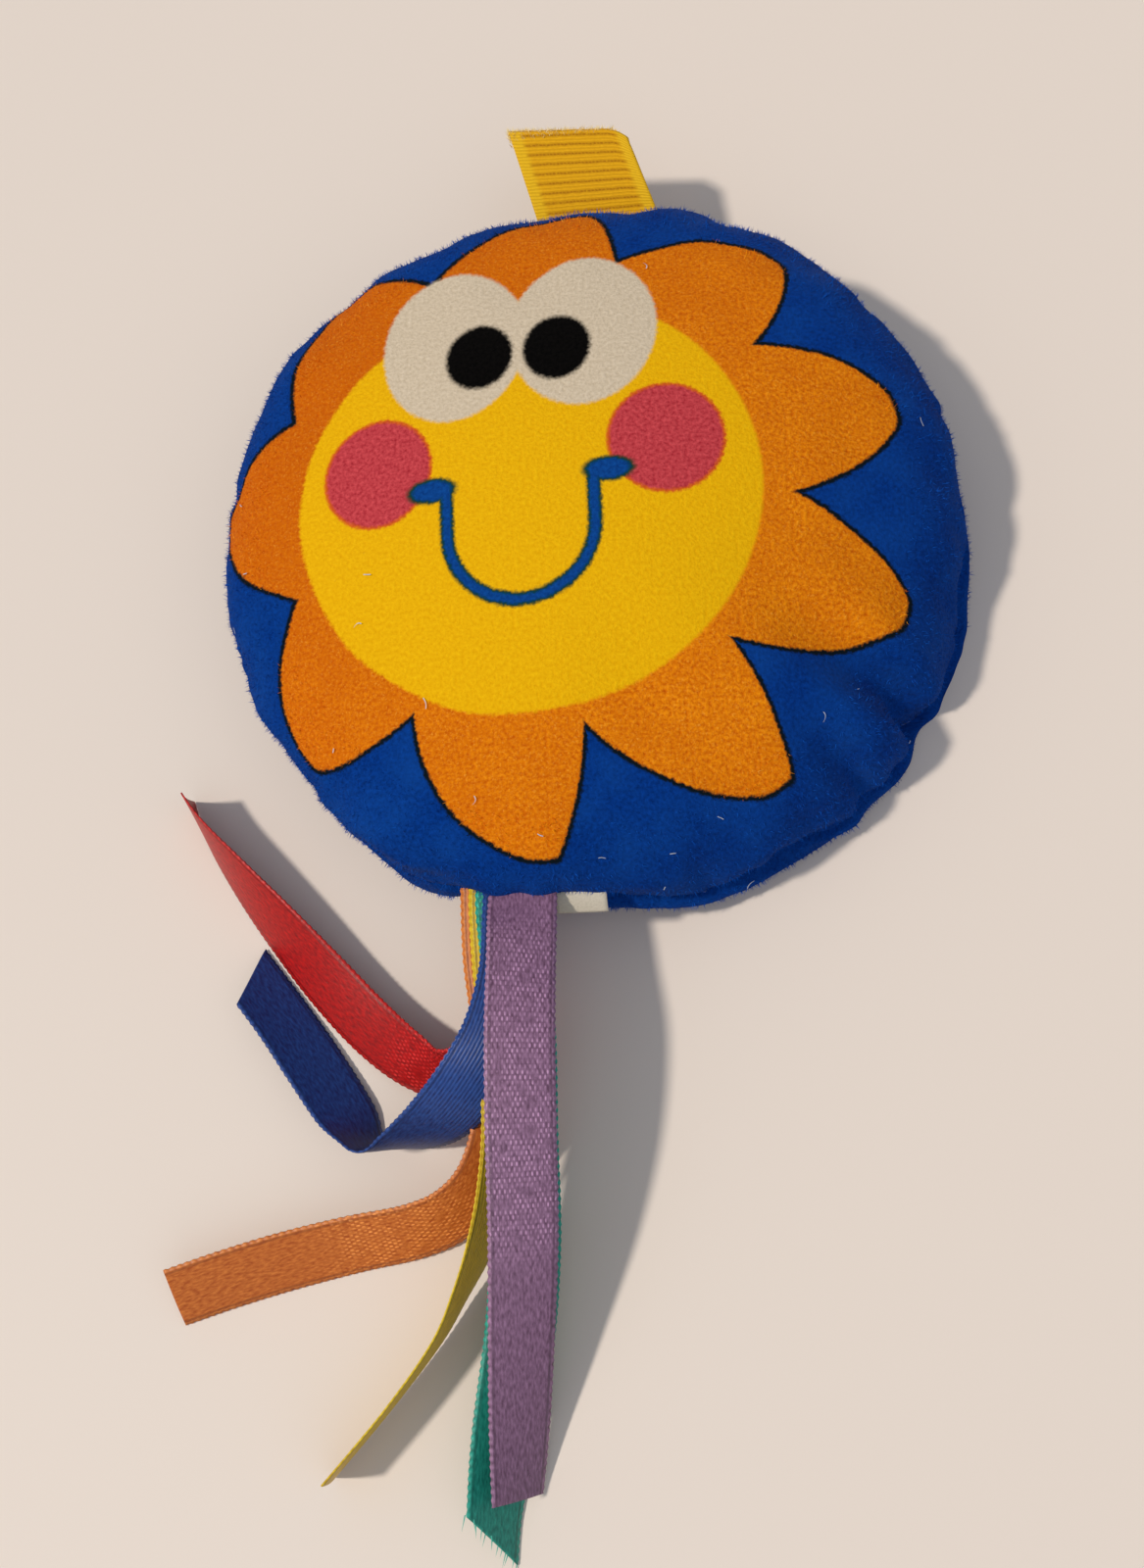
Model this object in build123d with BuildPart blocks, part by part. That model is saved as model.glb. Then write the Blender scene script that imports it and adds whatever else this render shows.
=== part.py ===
from build123d import *
import math
import os

# Stuffed cloth rattle, in millimetres. The origin is the centre of the flat
# patch it rests on, +Y points to the hang tab and +Z up to the printed face.

# Pillow
pillow_radius = 58.0
seam_height = 17.0
crown_height = 36.0
rest_radius = 30.0
front_edge_round = 11.0
back_edge_round = 14.0
fabric = 1.2
allowance_width = 6.5
thread_width = 0.8
thread_depth = 0.4
thread_inset = 1.8
slack = 0.2

# Rattle capsule and its beads
capsule_radius = 15.0
capsule_low = 9.0
capsule_high = 27.0
capsule_wall = 1.5
capsule_fillet = 4.0
lip_height = 2.0
lip_wall = 0.7
bead_radius = 2.5
bead_ring_radius = 8.0
bead_gap = 0.1

# Tapes and ribbons sewn into the seam
tab_width = 20.0
tab_ply = 0.7
tab_gap = 0.6
tab_reach = 16.0
tab_rise = 2.0
tab_shear = 4.8
tab_shift = 1.3
tab_root_y = 58.7
ribbon_width = 10.0
ribbon_thickness = 0.3
ribbon_pitch = 0.8
root_roll = 0.25
ribbon_root_y = -58.7
label_width = 9.0
label_reach = 4.0
label_thickness = 0.3

front_rise = crown_height - seam_height
allowance_outer = pillow_radius - fabric / 2
allowance_middle = allowance_outer - allowance_width / 2
allowance_reach = allowance_width + fabric / 2 + slack

os.makedirs("parts", exist_ok=True)


def finish(part, label):
    """Label a finished piece and write it to its own file."""
    part.label = label
    export_step(part, f"parts/{label}.step")


def half_dome(inset, rise, flat_radius, edge_round, side):
    """Half the section of the pillow above (side 1) or below (side -1) the seam.

    A small arc at the rim runs into a large one, which meets the flat patch or
    the middle line level. Inset moves the whole outline in.
    """
    edge_x = pillow_radius - edge_round
    reach = edge_x - flat_radius
    crown_round = (reach**2 + rise**2 - edge_round**2) / (2 * (rise - edge_round))
    meet = math.degrees(math.atan2(crown_round - rise, reach))
    crown_middle = (flat_radius, seam_height + side * (rise - crown_round))
    crown = seam_height + side * (rise - inset)
    with BuildSketch() as section:
        with BuildLine():
            CenterArc((edge_x, seam_height), edge_round - inset, 0, side * meet)
            CenterArc(crown_middle, crown_round - inset, side * meet, side * (90 - meet))
            if flat_radius:
                Line((flat_radius, crown), (0, crown))
            Polyline((0, crown), (0, seam_height), (pillow_radius - inset, seam_height))
        make_face()
    return section.sketch


def panel_section(rise, flat_radius, edge_round, side):
    """One panel's wall, and its seam allowance turned in flat."""
    with BuildSketch() as section:
        add(half_dome(0, rise, flat_radius, edge_round, side))
        add(half_dome(fabric, rise, flat_radius, edge_round, side), mode=Mode.SUBTRACT)
        with Locations((allowance_middle, seam_height + side * fabric / 2)):
            Rectangle(allowance_width, fabric)
        with Locations((pillow_radius - thread_inset, seam_height)):
            Rectangle(thread_width, thread_depth, mode=Mode.SUBTRACT)
    return section.sketch


def filling_section(rise, flat_radius, edge_round, side, pocket_depth):
    """One half of the filling, cut away for the allowance and the capsule."""
    with BuildSketch() as section:
        add(half_dome(fabric + slack, rise, flat_radius, edge_round, side))
        with Locations((pillow_radius, seam_height)):
            Rectangle(2 * allowance_reach, 2 * (fabric + slack), mode=Mode.SUBTRACT)
        with Locations((0, seam_height)):
            Rectangle(2 * (capsule_radius + slack), 2 * pocket_depth, mode=Mode.SUBTRACT)
    return section.sketch


# Front panel: a shallow dome of plush, with the seam allowance turned in.
with BuildPart() as front_panel:
    with BuildSketch(Plane.XZ) as front_profile:
        add(panel_section(front_rise, 0, front_edge_round, 1))
    revolve(axis=Axis.Z)
finish(front_panel.part, "front_panel")

# Back panel: the same plush, with the flat patch that the rattle rests on.
with BuildPart() as back_panel:
    with BuildSketch(Plane.XZ) as back_profile:
        add(panel_section(seam_height, rest_radius, back_edge_round, -1))
    revolve(axis=Axis.Z)
finish(back_panel.part, "back_panel")

# Seam thread: one ring of thread in the groove between the two allowances.
with BuildPart() as seam_thread:
    with BuildSketch(Plane.XZ) as thread_profile:
        with Locations((pillow_radius - thread_inset, seam_height)):
            Rectangle(thread_width, thread_depth)
    revolve(axis=Axis.Z)
finish(seam_thread.part, "seam_thread")

# Fibre filling: an upper and a lower half, each with a pocket for the capsule.
with BuildPart() as front_filling:
    with BuildSketch(Plane.XZ) as upper_profile:
        upper_pocket = capsule_high - seam_height + slack
        add(filling_section(front_rise, 0, front_edge_round, 1, upper_pocket))
    revolve(axis=Axis.Z)
finish(front_filling.part, "front_filling")

with BuildPart() as back_filling:
    with BuildSketch(Plane.XZ) as lower_profile:
        lower_pocket = seam_height - capsule_low + slack
        add(filling_section(seam_height, rest_radius, back_edge_round, -1, lower_pocket))
    revolve(axis=Axis.Z)
finish(back_filling.part, "back_filling")

# Rattle capsule: a cup whose thin lip the lid pushes over.
capsule_split = (capsule_low + capsule_high) / 2
capsule_height = capsule_high - capsule_low
inner_radius = capsule_radius - capsule_wall
lip_radius = inner_radius + lip_wall

with BuildPart() as rattle_cup:
    with Locations((0, 0, capsule_low)):
        Cylinder(
            capsule_radius, capsule_height / 2,
            align=(Align.CENTER, Align.CENTER, Align.MIN),
        )
    fillet(rattle_cup.edges().filter_by(GeomType.CIRCLE).sort_by(Axis.Z)[0], capsule_fillet)
    with Locations((0, 0, capsule_split)):
        Cylinder(lip_radius, lip_height, align=(Align.CENTER, Align.CENTER, Align.MIN))
    with Locations((0, 0, capsule_low + capsule_wall)):
        Cylinder(
            inner_radius, capsule_height,
            align=(Align.CENTER, Align.CENTER, Align.MIN), mode=Mode.SUBTRACT,
        )
finish(rattle_cup.part, "rattle_cup")

with BuildPart() as rattle_lid:
    with Locations((0, 0, capsule_split)):
        Cylinder(
            capsule_radius, capsule_height / 2,
            align=(Align.CENTER, Align.CENTER, Align.MIN),
        )
    fillet(rattle_lid.edges().filter_by(GeomType.CIRCLE).sort_by(Axis.Z)[-1], capsule_fillet)
    with Locations((0, 0, capsule_split)):
        Cylinder(
            inner_radius, capsule_height / 2 - capsule_wall,
            align=(Align.CENTER, Align.CENTER, Align.MIN), mode=Mode.SUBTRACT,
        )
        Cylinder(
            lip_radius, lip_height,
            align=(Align.CENTER, Align.CENTER, Align.MIN), mode=Mode.SUBTRACT,
        )
finish(rattle_lid.part, "rattle_lid")

# Beads: one in the middle and six round it, resting on the capsule's floor.
bead_height = capsule_low + capsule_wall + bead_radius + bead_gap
bead_places = [Vector(0, 0, bead_height)]
for place in PolarLocations(bead_ring_radius, 6).locations:
    bead_places.append(place.position + Vector(0, 0, bead_height))
for number, place in enumerate(bead_places, start=1):
    with BuildPart() as bead:
        with Locations(place):
            Sphere(bead_radius)
    finish(bead.part, f"bead_{number}")

# Hang tab: grosgrain tape folded into a flat loop, leaning to -X as it leaves
# the seam. The root edge is round, about the line that the tab turns on.
tab_depth = 2 * tab_ply + tab_gap
with BuildPart() as hang_tab:
    with BuildSketch(Plane.YZ.offset(tab_shift - tab_width / 2 - tab_shear)) as tab_loop:
        with BuildLine():
            bend = tab_depth / 2
            tab_end = tab_root_y + tab_reach - bend
            low = seam_height - bend
            high = seam_height + bend
            Line((tab_root_y + bend, low), (tab_end, low + tab_rise))
            ThreePointArc(
                (tab_end, low + tab_rise),
                (tab_end + bend, seam_height + tab_rise),
                (tab_end, high + tab_rise),
            )
            Line((tab_end, high + tab_rise), (tab_root_y + bend, high))
            ThreePointArc((tab_root_y + bend, high), (tab_root_y, seam_height), (tab_root_y + bend, low))
        make_face()
        with BuildLine():
            slot = tab_gap / 2
            Line((tab_root_y + bend, seam_height - slot), (tab_end, seam_height - slot + tab_rise))
            Line((tab_end, seam_height - slot + tab_rise), (tab_end, seam_height + slot + tab_rise))
            Line((tab_end, seam_height + slot + tab_rise), (tab_root_y + bend, seam_height + slot))
            Line((tab_root_y + bend, seam_height + slot), (tab_root_y + bend, seam_height - slot))
        make_face(mode=Mode.SUBTRACT)
    extrude(amount=tab_width + tab_shear)
    # The tape's two side edges are trimmed to the slant of the loop.
    side_cut = Plane.XY.offset(seam_height - 10)
    half = tab_width / 2
    for side in (-1, 1):
        with BuildSketch(side_cut) as slant:
            edge_x = tab_shift + side * half
            with BuildLine():
                Polyline(
                    (edge_x, tab_root_y - 1),
                    (edge_x - tab_shear, tab_root_y + tab_reach + 1),
                    (side * 40, tab_root_y + tab_reach + 1),
                    (side * 40, tab_root_y - 1),
                    close=True,
                )
            make_face()
        extrude(amount=30, mode=Mode.SUBTRACT)
finish(hang_tab.part, "hang_tab")


def ribbon(label, stations):
    """A strip of ribbon through stations of (x, y, z, turn, lean).

    Turn is the heading of the strip's width from +X in degrees, and lean is how
    far that width tips up out of level. The root edge is rolled, and the roll
    is the line that the ribbon turns on.
    """
    centres = [Vector(x, y, z) for x, y, z, turn, lean in stations]
    with BuildPart() as strip:
        sections = []
        for index, (x, y, z, turn, lean) in enumerate(stations):
            before = centres[max(index - 1, 0)]
            after = centres[min(index + 1, len(centres) - 1)]
            across = Vector(1, 0, 0).rotate(Axis.Y, -lean).rotate(Axis.Z, turn)
            along = (after - before).normalized()
            along = (along - across * along.dot(across)).normalized()
            with BuildSketch(Plane(origin=(x, y, z), x_dir=across, z_dir=along)) as section:
                Rectangle(ribbon_width, ribbon_thickness)
            sections.append(section.sketch)
        loft(sections=sections, ruled=True)
        with Locations(Plane(origin=centres[0], x_dir=(0, 1, 0), z_dir=(1, 0, 0))):
            Cylinder(root_roll, ribbon_width)
    finish(strip.part, label)
    print(label, "length", round(sum((b - a).length for a, b in zip(centres, centres[1:])), 1))


# Satin ribbons in the order they are stacked in the seam, the top one first.
root_y = ribbon_root_y
ribbon("ribbon_purple", [
    (-9.8, root_y, seam_height + 2.5 * ribbon_pitch, 180, 0),
    (-9.4, -66.0, 21.6, 180, 0),
    (-9.2, -78.0, 23.4, 180, 0),
    (-9.2, -92.0, 22.0, 180, 2),
    (-9.6, -106.0, 17.6, 180, 8),
    (-10.8, -120.5, 12.0, 180, 22),
    (-11.9, -132.5, 7.2, 180, 32),
    (-12.6, -142.0, 3.9, 177, 36),
])
ribbon("ribbon_blue", [
    (-10.9, root_y, seam_height + 1.5 * ribbon_pitch, 180, 0),
    (-11.4, -66.0, 19.9, 178, 2),
    (-14.2, -74.0, 20.3, 165, 5),
    (-19.2, -81.0, 18.4, 145, 12),
    (-25.4, -85.8, 12.6, 124, 22),
    (-31.0, -88.6, 6.0, 100, 26),
    (-35.4, -89.6, 1.7, 50, 10),
    (-38.9, -86.6, 0.9, 30, -3),
    (-44.8, -79.4, 1.9, 31, -12),
    (-51.0, -71.0, 2.3, 35, -15),
    (-57.6, -62.8, 2.6, 37, -18),
])
ribbon("ribbon_green", [
    (-11.0, root_y, seam_height + 0.5 * ribbon_pitch, 180, 0),
    (-10.6, -66.0, 17.6, 180, 0),
    (-10.2, -78.0, 16.9, 180, 0),
    (-10.2, -92.0, 14.9, 180, 0),
    (-10.4, -106.0, 11.4, 181, 0),
    (-12.2, -120.5, 6.8, 184, 0),
    (-14.8, -134.0, 2.6, 188, 0),
    (-15.4, -144.0, 0.7, 180, 0),
    (-14.9, -148.0, 0.5, 172, 0),
])
ribbon("ribbon_yellow", [
    (-11.7, root_y, seam_height - 0.5 * ribbon_pitch, 180, 0),
    (-11.8, -66.0, 16.2, 180, 2),
    (-11.8, -78.0, 14.8, 180, 8),
    (-12.4, -90.0, 12.6, 178, 24),
    (-14.4, -99.5, 10.2, 172, 48),
    (-17.4, -107.0, 8.2, 168, 72),
    (-20.6, -113.5, 6.8, 166, 88),
    (-24.6, -120.4, 5.8, 166, 96),
    (-31.6, -129.5, 5.4, 168, 99),
    (-40.4, -139.6, 5.3, 168, 99),
])
ribbon("ribbon_orange", [
    (-12.9, root_y, seam_height - 1.5 * ribbon_pitch, 180, 0),
    (-13.0, -66.0, 14.8, 180, 2),
    (-13.0, -77.0, 12.8, 179, 8),
    (-13.6, -88.0, 9.8, 174, 22),
    (-16.8, -96.4, 7.2, 150, 42),
    (-21.8, -101.4, 5.4, 126, 48),
    (-28.4, -104.2, 4.4, 106, 46),
    (-38.2, -106.0, 3.8, 100, 43),
    (-48.0, -108.2, 3.6, 102, 41),
    (-57.4, -110.8, 3.6, 104, 41),
    (-66.2, -113.6, 3.6, 106, 41),
])
ribbon("ribbon_red", [
    (-13.6, root_y, seam_height - 2.5 * ribbon_pitch, 180, 0),
    (-14.2, -64.5, 13.2, 178, 8),
    (-16.2, -71.0, 10.4, 168, 26),
    (-19.6, -77.2, 7.8, 146, 42),
    (-24.4, -80.2, 5.6, 106, 46),
    (-30.0, -78.4, 4.6, 70, 38),
    (-36.4, -73.2, 3.6, 54, 32),
    (-43.6, -65.8, 3.5, 48, 34),
    (-51.4, -57.0, 4.1, 46, 46),
    (-58.4, -48.8, 4.7, 44, 60),
    (-64.8, -40.6, 5.2, 40, 76),
    (-68.6, -33.8, 5.4, 32, 88),
])

# Care label: a plain folded tape in the seam beside the ribbons.
label_root = Vector(-0.2, ribbon_root_y, seam_height)
with BuildPart() as care_label:
    with Locations(label_root):
        Box(
            label_width, label_reach, label_thickness,
            align=(Align.CENTER, Align.MAX, Align.CENTER),
        )
    with Locations(Plane(origin=label_root, x_dir=(0, 1, 0), z_dir=(1, 0, 0))):
        Cylinder(root_roll, label_width)
finish(care_label.part, "care_label")
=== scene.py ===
import math
import random

import bmesh
import bpy
from mathutils import Matrix, Vector, noise


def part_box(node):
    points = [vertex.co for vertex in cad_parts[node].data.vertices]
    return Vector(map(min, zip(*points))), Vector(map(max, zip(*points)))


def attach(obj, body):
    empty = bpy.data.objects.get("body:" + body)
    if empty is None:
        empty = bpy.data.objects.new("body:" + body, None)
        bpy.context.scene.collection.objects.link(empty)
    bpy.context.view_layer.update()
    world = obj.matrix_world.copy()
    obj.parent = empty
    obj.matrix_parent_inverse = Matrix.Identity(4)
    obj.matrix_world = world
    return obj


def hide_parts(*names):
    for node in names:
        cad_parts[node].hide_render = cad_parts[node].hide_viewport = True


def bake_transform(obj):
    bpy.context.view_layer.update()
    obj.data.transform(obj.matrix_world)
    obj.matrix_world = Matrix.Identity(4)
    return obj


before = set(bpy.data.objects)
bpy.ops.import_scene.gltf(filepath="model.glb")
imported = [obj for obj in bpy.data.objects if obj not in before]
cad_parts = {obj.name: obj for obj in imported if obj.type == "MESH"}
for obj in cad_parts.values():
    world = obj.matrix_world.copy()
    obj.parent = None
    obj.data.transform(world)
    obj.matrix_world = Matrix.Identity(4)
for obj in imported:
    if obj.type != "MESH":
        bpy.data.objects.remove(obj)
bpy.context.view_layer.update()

MM = 0.001

# ---- Camera ----
# A view of the rattle lying on a table, from high over the ribbons and a
# little to the right, looking down at the middle of the whole toy.
pillow_low, pillow_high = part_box("back_panel")[0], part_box("front_panel")[1]
pillow_middle = (pillow_low + pillow_high) / 2
look_at = Vector((pillow_middle.x - 5.6 * MM, pillow_middle.y - 34.0 * MM, 0))
view_back = Vector((0.17, -0.33, 1)).normalized()
view_side = Vector((0, 1, 0)).cross(view_back).normalized()
camera_data = bpy.data.cameras.new("camera")
camera_data.lens = 45.86
camera_data.clip_start = 0.01
camera = bpy.data.objects.new("camera", camera_data)
bpy.context.scene.collection.objects.link(camera)
view_axes = Matrix((view_side, view_back.cross(view_side), view_back)).transposed()
camera.matrix_world = Matrix.Translation(look_at + view_back * 320 * MM) @ view_axes.to_4x4()
bpy.context.scene.camera = camera


# ---- Rattle beads ----
# Seven moulded polystyrene beads, loose in the capsule, which make the noise.
# They are tumbled after moulding, so their gloss is even and a little soft.
def linear(code):
    """A colour written as sRGB hex, as the linear values that a shader reads."""
    channels = [int(code[i:i + 2], 16) / 255 for i in (1, 3, 5)]
    return [c / 12.92 if c <= 0.04045 else ((c + 0.055) / 1.055) ** 2.4 for c in channels] + [1]


def add_node(tree, kind, *by_place, **by_name):
    """A shader node, with its settings and its links.

    A name in small letters is a setting. The others are inputs, and inputs also go by their
    place among the live ones. An input takes a number, a colour, a socket, or a node whose
    first live output is used.
    """
    made = tree.nodes.new("ShaderNode" + kind)
    inputs = {name: value for name, value in by_name.items() if name[0].isupper()}
    for name, value in by_name.items():
        if name not in inputs:
            setattr(made, name, value)
    sockets = [socket for socket in made.inputs if socket.enabled][:len(by_place)]
    sockets += [made.inputs[name.replace("_", " ")] for name in inputs]
    for socket, value in zip(sockets, [*by_place, *inputs.values()]):
        if isinstance(value, bpy.types.Node):
            value = next(output for output in value.outputs if output.enabled)
        if isinstance(value, bpy.types.NodeSocket):
            tree.links.new(value, socket)
        else:
            socket.default_value = value
    return made


def start_material(name):
    """A new material, and its node tree with nothing in it."""
    material = bpy.data.materials.new(name)
    material.use_nodes = True
    material.node_tree.nodes.clear()
    return material, material.node_tree


def dress_nodes(material, *nodes):
    """Give pieces that came with the frame their material."""
    for node in nodes:
        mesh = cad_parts[node].data
        mesh.materials.clear()
        mesh.materials.append(material)


def moulded(name, low, high, roughness):
    """Injection-moulded plastic: faint clouding where it flowed, and a 0.4 mm tool grain."""
    material, tree = start_material(name)
    place = add_node(tree, "TexCoord").outputs["Object"]
    cloud = add_node(tree, "TexNoise", Vector=place, Scale=140, Detail=3)
    colour = add_node(tree, "Mix", cloud, linear(low), linear(high), data_type="RGBA")
    grain = add_node(tree, "TexNoise", Vector=place, Scale=2500, Detail=2)
    bump = add_node(tree, "Bump", Height=grain, Strength=0.1, Distance=0.1 * MM)
    shader = add_node(
        tree, "BsdfPrincipled", Base_Color=colour, Normal=bump, Roughness=roughness, IOR=1.49
    )
    add_node(tree, "OutputMaterial", Surface=shader)
    return material


dress_nodes(
    moulded("moulded_polystyrene", "#C23A2A", "#D04A36", 0.28),
    *[f"bead_{number}" for number in range(1, 8)],
)

# ---- Rattle capsule ----
# Two moulded polypropylene shells, milky white. The lid is pushed over the
# cup's thin lip and snaps there, and the beads roll on the cup's floor.
dress_nodes(
    moulded("moulded_polypropylene", "#D2D5D4", "#E0E2DF", 0.42), "rattle_cup", "rattle_lid"
)

# ---- Pillow panels ----
# Two round panels of brushed plush, sewn together round the edge and stuffed.
# The cloth is longer than the seam there, so it puckers and the edge is lumpy,
# and the back is pressed flat where the toy lies on it.
seam_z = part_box("back_panel")[1].z
pillow_radius = (pillow_high.x - pillow_low.x) / 2
cloth_radius = 65.2 * MM
grid_cells = 64
domes = {
    "front": {"rise": pillow_high.z - seam_z, "flat": 0.0, "rim": 11 * MM, "up": 1},
    "back": {"rise": seam_z - pillow_low.z, "flat": 30 * MM, "rim": 14 * MM, "up": -1},
}


def dome_point(travel, rise, flat, rim, up):
    """Radius and height of the cloth at a distance along it from the middle.

    The section is a flat patch, then a wide arc, then a small arc down to the seam.
    """
    reach = pillow_radius - rim - flat
    wide = (reach**2 + rise**2 - rim**2) / (2 * (rise - rim))
    meet = math.atan2(wide - rise, reach)
    wide_length = wide * (math.pi / 2 - meet)
    travel *= (flat + wide_length + rim * meet) / cloth_radius
    if travel < flat:
        return travel, up * rise
    if travel < flat + wide_length:
        angle = (travel - flat) / wide
        return flat + wide * math.sin(angle), up * (rise - wide * (1 - math.cos(angle)))
    angle = meet - (travel - flat - wide_length) / rim
    return flat + reach + rim * math.cos(angle), up * rim * math.sin(angle)


shell = bmesh.new()
cut_place = shell.verts.layers.float_vector.new("cut_place")
is_back = shell.faces.layers.int.new("is_back")
for side, dome in domes.items():
    known = set(shell.verts)
    bmesh.ops.create_grid(shell, x_segments=grid_cells, y_segments=grid_cells, size=1)
    panel_verts = [vert for vert in shell.verts if vert not in known]
    for vert in panel_verts:
        x, y = vert.co.x, vert.co.y
        flat_place = Vector((x * math.sqrt(1 - y * y / 2), y * math.sqrt(1 - x * x / 2), 0))
        flat_place *= cloth_radius
        radius, height = dome_point(flat_place.length, **dome)
        vert[cut_place] = flat_place
        vert.co = flat_place.normalized() * radius + Vector((0, 0, height))
    panel_faces = [face for face in shell.faces if face.verts[0] not in known]
    for face in panel_faces:
        face[is_back] = side == "back"
    if side == "back":
        bmesh.ops.reverse_faces(shell, faces=panel_faces)
bmesh.ops.remove_doubles(shell, verts=shell.verts, dist=1e-6)
shell_mesh = bpy.data.meshes.new("pillow_shell")
shell.to_mesh(shell_mesh)
shell.free()
pillow = bpy.data.objects.new("pillow_shell", shell_mesh)
bpy.context.scene.collection.objects.link(pillow)

# The stuffing holds the middle of the cloth. Towards the seam it is uneven and
# loose, so there the solver lets pressure and the cloth's own stiffness shape it.
# It works best on cloth of about a metre, so the pillow is grown for it.
solver_scale = 8.0
lump_size = 11 * MM
lump_height = 1.5 * MM
loose_from, loose_full = 0.45, 0.8
noise_seed = 5
noise.seed_set(noise_seed)
held = pillow.vertex_groups.new(name="held_by_stuffing")
for vert, item in zip(shell_mesh.vertices, shell_mesh.attributes["cut_place"].data):
    edgeness = Vector(item.vector).length / cloth_radius
    looseness = min(1.0, max(0.0, (edgeness - loose_from) / (loose_full - loose_from)))
    held.add([vert.index], 1 - looseness, "REPLACE")
    lump = noise.noise_vector(vert.co / lump_size) * lump_height
    vert.co += lump * max(0.0, edgeness - 0.5) / 0.5
shell_mesh.transform(Matrix.Scale(solver_scale, 4))
cloth = pillow.modifiers.new("cloth", "CLOTH")
cloth.settings.quality = 6
cloth.settings.mass = 0.05
cloth.settings.tension_stiffness = 30
cloth.settings.compression_stiffness = 30
cloth.settings.shear_stiffness = 20
cloth.settings.bending_stiffness = 0.05
cloth.settings.use_pressure = True
cloth.settings.uniform_pressure_force = 6
cloth.settings.vertex_group_mass = "held_by_stuffing"
cloth.settings.pin_stiffness = 0.5
cloth.settings.effector_weights.gravity = 0
cloth.collision_settings.use_collision = False
for step in range(1, 21):
    bpy.context.scene.frame_set(step)
solved = pillow.evaluated_get(bpy.context.evaluated_depsgraph_get())
pillow.data = bpy.data.meshes.new_from_object(solved)
pillow.modifiers.clear()
pillow.data.transform(Matrix.Scale(1 / solver_scale, 4))
bpy.context.scene.frame_set(1)
smoother = pillow.modifiers.new("subdivision", "SUBSURF")
smoother.levels = smoother.render_levels = 1
finer = pillow.evaluated_get(bpy.context.evaluated_depsgraph_get())
shell = bmesh.new()
shell.from_mesh(bpy.data.meshes.new_from_object(finer))
bpy.data.objects.remove(pillow)
cut_place = shell.verts.layers.float_vector["cut_place"]
is_back = shell.faces.layers.int["is_back"]

# Each tuck is a small fold that the seam caught: its angle round the rim in
# degrees, then its reach, half width and depth.
tucks = [
    (-2, 12 * MM, 2.2 * MM, 1.5 * MM),
    (-14, 9 * MM, 2.0 * MM, 0.7 * MM),
    (-31, 38 * MM, 5.6 * MM, 6.0 * MM),
    (-45, 24 * MM, 3.8 * MM, 3.2 * MM),
    (-55, 13 * MM, 2.4 * MM, 0.9 * MM),
    (-73, 12 * MM, 2.6 * MM, 1.0 * MM),
    (-101, 12 * MM, 3.2 * MM, 1.4 * MM),
    (-131, 12 * MM, 2.8 * MM, 0.9 * MM),
    (-160, 9 * MM, 2.2 * MM, 0.7 * MM),
    (170, 12 * MM, 2.6 * MM, 0.9 * MM),
    (141, 10 * MM, 2.4 * MM, 0.8 * MM),
    (112, 9 * MM, 2.4 * MM, 0.7 * MM),
    (66, 10 * MM, 2.6 * MM, 0.8 * MM),
    (38, 12 * MM, 3.0 * MM, 0.9 * MM),
    (18, 10 * MM, 2.2 * MM, 0.8 * MM),
]
tuck_lines = []
for angle, reach, half_width, depth in tucks:
    outward = Vector((math.cos(math.radians(angle)), math.sin(math.radians(angle)), 0))
    tuck_lines.append((outward, Vector((-outward.y, outward.x, 0)), reach, half_width, depth))
# The stuffing swells the outline here and there, and one side of the pillow sags
# down to the table: each is an angle, an amount and a spread in degrees.
swells = [
    (148, 3.2 * MM, 34), (244, 2.4 * MM, 14), (60, 1.2 * MM, 24), (6, 1.2 * MM, 18),
]
sags = [(-24, 16 * MM, 38), (-72, 7 * MM, 18)]
groove_depth = 1.7 * MM
shell.normal_update()
moves = []
for vert in shell.verts:
    cut = vert[cut_place]
    inset = max(0.0, cloth_radius - cut.length)
    rim_place = cut.normalized() * pillow_radius
    level = math.copysign(min(inset / (6 * MM), 1.0), vert.co.z)
    pucker = noise.noise(rim_place / (2.6 * MM) + Vector((0, 0, level * 1.3)))
    ripple = noise.noise(rim_place / (9 * MM) + Vector((5, 0, level * 2)))
    move = -groove_depth * math.exp(-inset / (1.5 * MM))
    move += 0.75 * MM * pucker * math.exp(-inset / (3.5 * MM))
    move += 1.1 * MM * ripple * math.exp(-inset / (10 * MM))
    for outward, across, reach, half_width, depth in tuck_lines:
        along = cloth_radius - cut.dot(outward)
        if along < reach and cut.dot(outward) > 0:
            aside = cut.dot(across) / (half_width * (0.55 + 0.45 * along / reach))
            fade = 0.5 + 0.5 * math.cos(math.pi * along / reach)
            fade *= (1 - 0.6 * math.exp(-along / (6 * MM))) * (1 if level >= 0 else 0.3)
            move -= depth * fade * (1 - 0.6 * aside * aside) * math.exp(-aside * aside / 2)
    outline = []
    for bumps in (swells, sags):
        total = 0.0
        for angle, amount, spread in bumps:
            toward = Vector((math.cos(math.radians(angle)), math.sin(math.radians(angle)), 0))
            total += amount * math.exp(-((math.degrees(toward.angle(cut, 0)) / spread) ** 2))
        outline.append(total * (cut.length / cloth_radius) ** 2.5)
    if level < 0:
        # Pressed on the table, the back of the sagging side spills out past the seam.
        outline[0] += 0.1 * outline[1] * math.exp(-((inset - 5 * MM) / (4 * MM)) ** 2)
    shift = cut.normalized() * outline[0] - Vector((0, 0, outline[1]))
    moves.append((vert, vert.normal * move + shift))
for vert, move in moves:
    vert.co += move
    vert.co.z = max(vert.co.z + seam_z, pillow_low.z)

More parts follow.
